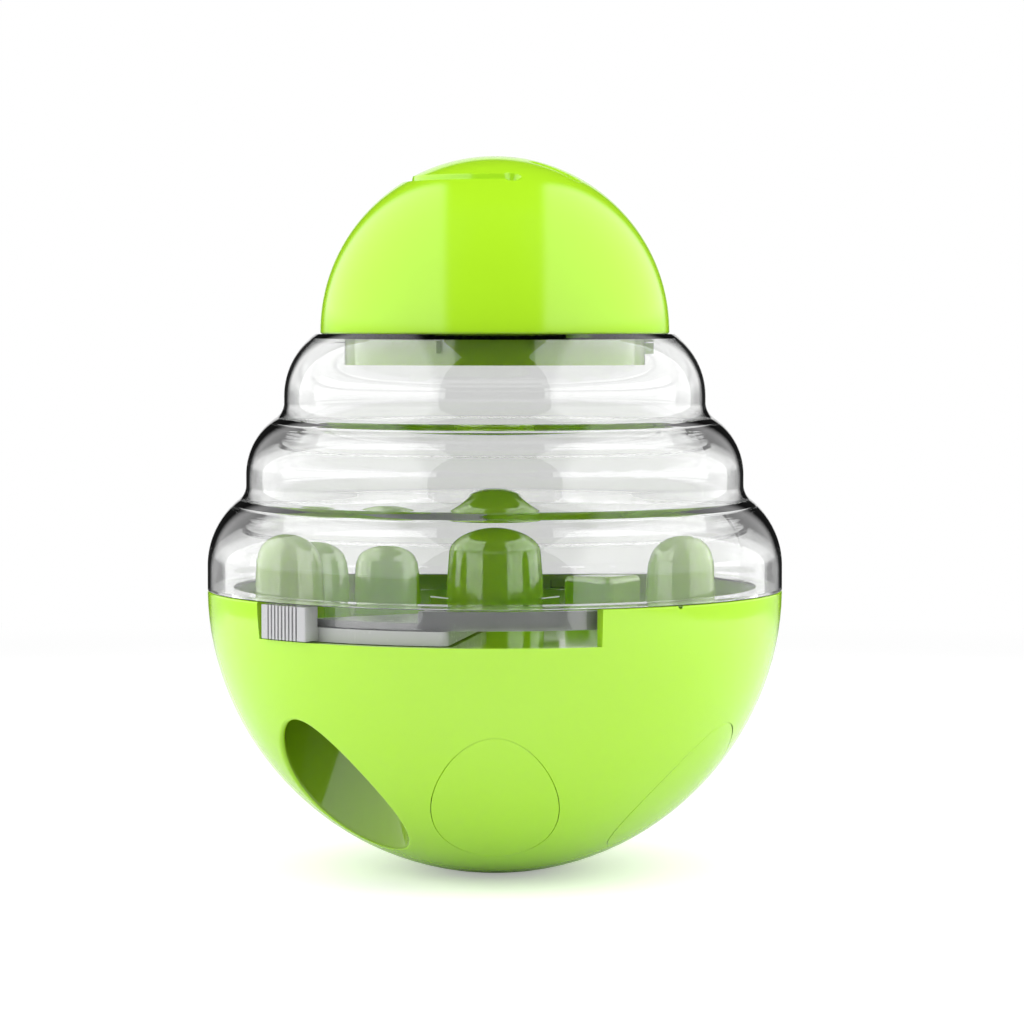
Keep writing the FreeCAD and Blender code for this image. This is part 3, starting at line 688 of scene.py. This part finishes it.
def makeDomeCap(setup):
    centre = domeTop / mm - setup["domeRadius"]
    radius = setup["domeRadius"]
    neck, low = neckHeight / mm, capLow / mm
    lugs, grip, mark = setup["lugs"], setup["grip"], setup["mark"]
    rows = setup["rows"]
    azimuths = columnsWith(edgesOf(lugs), setup["columns"])

    # rows of the dome from its top to the rounded edge, closer where the grip's arc runs
    gripPolar = math.degrees(math.asin(grip["radius"] / radius))
    edge = setup["edgeRound"]
    edgeRadius = radius - edge
    lastPolar = 90.0 + math.degrees(math.asin((setup["centreRise"] - edge) / edgeRadius))
    gripTop = gripPolar - setup["gripBand"]
    gripLow = gripPolar + setup["gripBand"]
    polar = np.concatenate([
        np.linspace(setup["firstPolar"], gripTop, rows["above"], endpoint=False),
        np.linspace(gripTop, gripLow, rows["grip"], endpoint=False),
        np.linspace(gripLow, lastPolar, rows["below"]),
    ])
    polarGrid, azimuthGrid = np.meshgrid(polar, azimuths, indexing="ij")
    surface = domePoints(polarGrid, azimuthGrid, radius)

    # distance to the grip's arc: across it beside the arc, and to its ends past them
    ends = domePoints(np.array([gripPolar, gripPolar]), np.array([grip["start"], grip["end"]]), radius)
    beside = within(azimuthGrid, grip["start"], grip["end"])
    across = np.abs(polarGrid - gripPolar) * math.radians(1.0) * radius
    toEnds = [np.linalg.norm(surface - end, axis=-1) for end in ends]
    toGrip = np.where(beside, across, np.minimum(*toEnds))
    depth = grooveDepth(toGrip, grip["groove"])
    depth = np.maximum(depth, grooveDepth(toEnds[1], grip["endGroove"]))

    # distance to the short mark: to the straight run between its two ends
    first = domePoints(*map(np.array, mark["start"]), radius)
    last = domePoints(*map(np.array, mark["end"]), radius)
    along = last - first
    share = np.clip((surface - first) @ along / (along @ along), 0.0, 1.0)
    toMark = np.linalg.norm(surface - (first + share[..., None] * along), axis=-1)
    depth = np.maximum(depth, grooveDepth(toMark, mark["groove"]))
    dome = domePoints(polarGrid, azimuthGrid, 1.0) * (radius - depth)[..., None]
    dome[..., 2] += centre

    # edge round, seat, neck with its lugs, and the hollow inside up to the inner top
    lugTop = neck - lugs["below"]
    lugLow = lugTop - lugs["height"]
    baseRadius = math.sqrt(radius ** 2 - setup["centreRise"] ** 2)
    neckOuter = setup["neckRadius"]
    neckInner = neckOuter - setup["neckWall"]
    innerDome = radius - setup["wall"]
    floorHeight = neck + setup["floor"]
    innerStart = math.degrees(math.asin((setup["floor"] - setup["centreRise"]) / innerDome))
    innerEdge = (innerDome * math.cos(math.radians(innerStart)), floorHeight)
    section = [
        arcPoints((baseRadius - edge, neck + edge), edge, 0.0, -90.0, 6),
        linePoints((baseRadius - edge - setup["seatStart"], neck), (neckOuter, neck), 6)[:-1],
        linePoints((neckOuter, neck), (neckOuter, lugTop + hairGap), 3),
        linePoints((neckOuter + lugs["reach"], lugTop), (neckOuter + lugs["reach"], lugLow), 4),
        linePoints((neckOuter, lugLow - hairGap), (neckOuter, low), 4)[:-1],
        linePoints((neckOuter, low), (neckInner, low), 4)[:-1],
        linePoints((neckInner, low), (neckInner, floorHeight), 8)[:-1],
        linePoints((neckInner, floorHeight), innerEdge, 4)[:-1],
        arcPoints((0.0, centre), innerDome, innerStart, setup["lastInside"], rows["inside"]),
    ]
    starts = np.concatenate([[0], np.cumsum([len(part) for part in section])])
    profiles = np.repeat(np.vstack(section)[:, None, :], len(azimuths), axis=1)
    lugRows = np.arange(starts[3], starts[4])
    profiles[np.ix_(lugRows, np.where(~inAnyOf(lugs, azimuths))[0], [0])] = neckOuter
    grid = np.concatenate([dome, spun(profiles, azimuths)]) * mm
    return gridMesh("dome_cap", grid[::-1], closeStart=True, closeEnd=True)


domeCap = addPiece("dome_cap", makeDomeCap(capSetup), materials["green_plastic"], "cap")
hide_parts("cap")
print("dome cap ready:", len(domeCap.data.polygons), "faces")


# The surround that glossy and transmission rays see is told by the angle from straight behind
# the object, in degrees: a white card, a dark gap on each side of it, and a dim front. The
# card is wider for rays that come through the plastic. Glossy rays also see two softboxes,
# whose front edges mirror as upright lines on every tier: boxInner is the sideways part of a
# mirroring normal, boxOuter is an angle off the back, and boxLow and cardHigh are rises.
surroundSetup = {
    "throughHalfAngle": 22.0,
    "mirroredHalfAngle": 11.0,
    "cardSoft": 1.0,
    "cardLevel": 0.9,
    "cardHigh": (0.38, 0.46),
    "gapEnd": 72.0,
    "gapLevel": 0.02,
    "frontEnd": 105.0,
    "frontLevel": 0.40,
    "frontGloss": 0.05,
    "boxRadiance": 1.2,
    "boxInner": (0.245, 0.31),
    "boxOuter": (22.0, 32.0),
    "boxLow": (-0.01, 0.10),
    "belowBox": 0.40,
}


def smoothRamp(tree, value, start, end, low, high):
    node = addNode(tree, "MapRange", interpolation_type="SMOOTHSTEP")
    tree.links.new(value, node.inputs["Value"])
    node.inputs["From Min"].default_value = start
    node.inputs["From Max"].default_value = end
    node.inputs["To Min"].default_value = low
    node.inputs["To Max"].default_value = high
    return node.outputs[0]


def makeSurround(setup):
    # direction in, level for transmission rays and level for glossy rays out
    group, entry, leave = newGroup("studioSurround", {"Direction": ("Vector", (0.0, 1.0, 0.0))},
                                   {"Through": "Float", "Mirrored": "Float"})
    unit = addNode(group, "VectorMath", operation="NORMALIZE")
    group.links.new(entry.outputs["Direction"], unit.inputs[0])
    split = addNode(group, "SeparateXYZ")
    group.links.new(unit.outputs[0], split.inputs[0])
    angle = mathNode(group, "ARCTAN2", split.outputs["X"], split.outputs["Y"])
    offBack = mathNode(group, "MULTIPLY", mathNode(group, "ABSOLUTE", angle), 180.0 / math.pi)
    rise = split.outputs["Z"]
    below = smoothRamp(group, rise, *setup["cardHigh"], 1.0, 0.0)
    soft = setup["cardSoft"]
    for title, half, level in (("Through", setup["throughHalfAngle"], setup["frontLevel"]),
                               ("Mirrored", setup["mirroredHalfAngle"], setup["frontGloss"])):
        card = smoothRamp(group, offBack, half - soft, half + soft, setup["cardLevel"], setup["gapLevel"])
        card = mathNode(group, "MAXIMUM", mathNode(group, "MULTIPLY", card, below), setup["gapLevel"])
        front = smoothRamp(group, offBack, setup["gapEnd"], setup["frontEnd"], 0.0, level)
        seen = mathNode(group, "ADD", card, front)
        if title == "Mirrored":
            # The sideways part of the normal that mirrors this direction to the camera: x over
            # the root of 2 - 2y. A little over 2 keeps it from dividing by nothing.
            twice = mathNode(group, "MULTIPLY_ADD", split.outputs["Y"], -2.0, 2.001)
            spread = mathNode(group, "SQRT", twice)
            sideways = mathNode(group, "DIVIDE", mathNode(group, "ABSOLUTE", split.outputs["X"]), spread)
            inner = smoothRamp(group, sideways, *setup["boxInner"], 0.0, 1.0)
            outer = smoothRamp(group, offBack, *setup["boxOuter"], 0.0, setup["boxRadiance"])
            raised = smoothRamp(group, rise, *setup["boxLow"], setup["belowBox"], 1.0)
            box = mathNode(group, "MULTIPLY", mathNode(group, "MULTIPLY", inner, outer), raised)
            seen = mathNode(group, "ADD", seen, box)
        group.links.new(seen, leave.inputs[title])
    return group


studioSurround = makeSurround(surroundSetup)


def surroundLevel(tree, direction, cameraLevel, fillLevel, mirroredShare=1.0):
    # which level a ray sees: camera rays their own, glossy and transmission rays the surround,
    # and all others the fill
    path = addNode(tree, "LightPath")
    surround = addNode(tree, "Group", node_tree=studioSurround)
    tree.links.new(direction, surround.inputs["Direction"])
    mirrored = mathNode(tree, "MULTIPLY", surround.outputs["Mirrored"], mirroredShare)
    level = fillLevel
    for ray, shown in (("Is Transmission Ray", surround.outputs["Through"]),
                       ("Is Glossy Ray", mirrored), ("Is Camera Ray", cameraLevel)):
        choice = addNode(tree, "Mix", data_type="FLOAT")
        tree.links.new(path.outputs[ray], choice.inputs["Factor"])
        for socket, value in (("A", level), ("B", shown)):
            if isinstance(value, bpy.types.NodeSocket):
                tree.links.new(value, choice.inputs[socket])
            else:
                choice.inputs[socket].default_value = value
        level = choice.outputs[0]
    return level


# Floor, in metres. Near the object it is lit and keeps a soft shadow, and further out it is
# plain white. The lift is its own light near the object.
floorSetup = {
    "halfSize": 40.0,
    "colour": 0.80,
    "roughness": 0.7,
    "lift": 0.34,
    "litRadius": 0.34,
    "farRadius": 0.60,
}


def makeFloor(setup):
    size = setup["halfSize"]
    corners = [(-size, -size, 0), (size, -size, 0), (size, size, 0), (-size, size, 0)]
    mesh = bpy.data.meshes.new("studio_floor")
    mesh.from_pydata(corners, [], [(0, 1, 2, 3)])
    mesh.update()
    material = bpy.data.materials.new("studioFloor")
    material.use_nodes = True
    tree = material.node_tree
    shader = tree.nodes["Principled BSDF"]
    shader.inputs["Roughness"].default_value = setup["roughness"]
    shader.inputs["Specular IOR Level"].default_value = 0.0
    shader.inputs["Emission Strength"].default_value = 1.0
    place = addNode(tree, "TexCoord").outputs["Object"]
    reach = addNode(tree, "VectorMath", operation="LENGTH")
    tree.links.new(place, reach.inputs[0])
    near = smoothRamp(tree, reach.outputs["Value"], setup["litRadius"], setup["farRadius"], 1.0, 0.0)
    grey = mathNode(tree, "MULTIPLY", near, setup["colour"])
    shade = addNode(tree, "CombineColor")
    for channel in ("Red", "Green", "Blue"):
        tree.links.new(grey, shade.inputs[channel])
    tree.links.new(shade.outputs[0], shader.inputs["Base Color"])
    far = mathNode(tree, "SUBTRACT", 1.0, near)
    seen = mathNode(tree, "ADD", mathNode(tree, "MULTIPLY", far, 1.0 - setup["lift"]), setup["lift"])
    level = surroundLevel(tree, place, seen, 0.0, far)
    tree.links.new(level, shader.inputs["Emission Color"])
    mesh.materials.append(material)
    studioFloor = bpy.data.objects.new("studio_floor", mesh)
    bpy.context.scene.collection.objects.link(studioFloor)


makeFloor(floorSetup)


# Light, in metres: two tall softboxes that stand along the sides and leave a gap in front, and
# a soft light from above. Reflections see the surround in their place. A lamp's energy is
# four times its radiance times its area.
lightSetup = {
    "sideDistance": 0.35,
    "sideNear": -0.617,
    "sideFar": 0.293,
    "sideLow": 0.0,
    "sideHigh": 1.4,
    "sideRadiance": 1.9,
    "topHeight": 1.5,
    "topSize": 1.0,
    "topRadiance": 0.8,
    "ambient": 0.22,
}


def areaLamp(name, place, target, sizeX, sizeY, radiance):
    lamp = bpy.data.lights.new(name, "AREA")
    lamp.shape = "RECTANGLE"
    lamp.size = sizeX
    lamp.size_y = sizeY
    lamp.energy = 4.0 * radiance * sizeX * sizeY
    holder = bpy.data.objects.new(name, lamp)
    bpy.context.scene.collection.objects.link(holder)
    holder.location = place
    holder.rotation_euler = (Vector(target) - Vector(place)).to_track_quat("-Z", "Y").to_euler()
    holder.visible_camera = False
    return holder


def makeLights(setup):
    middleY = (setup["sideNear"] + setup["sideFar"]) / 2
    middleZ = (setup["sideLow"] + setup["sideHigh"]) / 2
    long = setup["sideFar"] - setup["sideNear"]
    tall = setup["sideHigh"] - setup["sideLow"]
    for name, side in (("softbox_left", -1.0), ("softbox_right", 1.0)):
        place = (side * setup["sideDistance"], middleY, middleZ)
        box = areaLamp(name, place, (0.0, middleY, middleZ), long, tall, setup["sideRadiance"])
        box.visible_glossy = False
    # its target is just off the axis, so that the lamp's turn about its own axis is settled
    top = areaLamp("softbox_top", (0.0, 0.0, setup["topHeight"]), (0.0, 0.001, 0.0),
                   setup["topSize"], setup["topSize"], setup["topRadiance"])
    top.visible_glossy = False
    top.visible_transmission = False


makeLights(lightSetup)


def makeWorld(setup):
    world = bpy.data.worlds.new("studioWorld")
    bpy.context.scene.world = world
    world.use_nodes = True
    tree = world.node_tree
    tree.nodes.clear()
    direction = addNode(tree, "TexCoord").outputs["Generated"]
    background = addNode(tree, "Background")
    level = surroundLevel(tree, direction, 1.0, setup["ambient"])
    tree.links.new(level, background.inputs["Color"])
    output = addNode(tree, "OutputWorld")
    tree.links.new(background.outputs[0], output.inputs["Surface"])


makeWorld(lightSetup)
print("studio ready")


# Camera. Found from the photograph's rim and window arcs: distance, eye height and lens.
cameraSetup = {"distance": 0.695, "eyeHeight": 0.1057, "lens": 125.2, "pitch": 2.93, "yaw": 0.275}


def makeCamera(setup):
    camera = bpy.data.cameras.new("photoCamera")
    camera.lens = setup["lens"]
    camera.clip_start = 0.01
    holder = bpy.data.objects.new("photoCamera", camera)
    bpy.context.scene.collection.objects.link(holder)
    holder.location = (0.0, -setup["distance"], setup["eyeHeight"])
    holder.rotation_euler = (math.radians(90.0 - setup["pitch"]), 0.0, math.radians(-setup["yaw"]))
    bpy.context.scene.camera = holder


makeCamera(cameraSetup)
bpy.context.scene.view_settings.view_transform = "Standard"
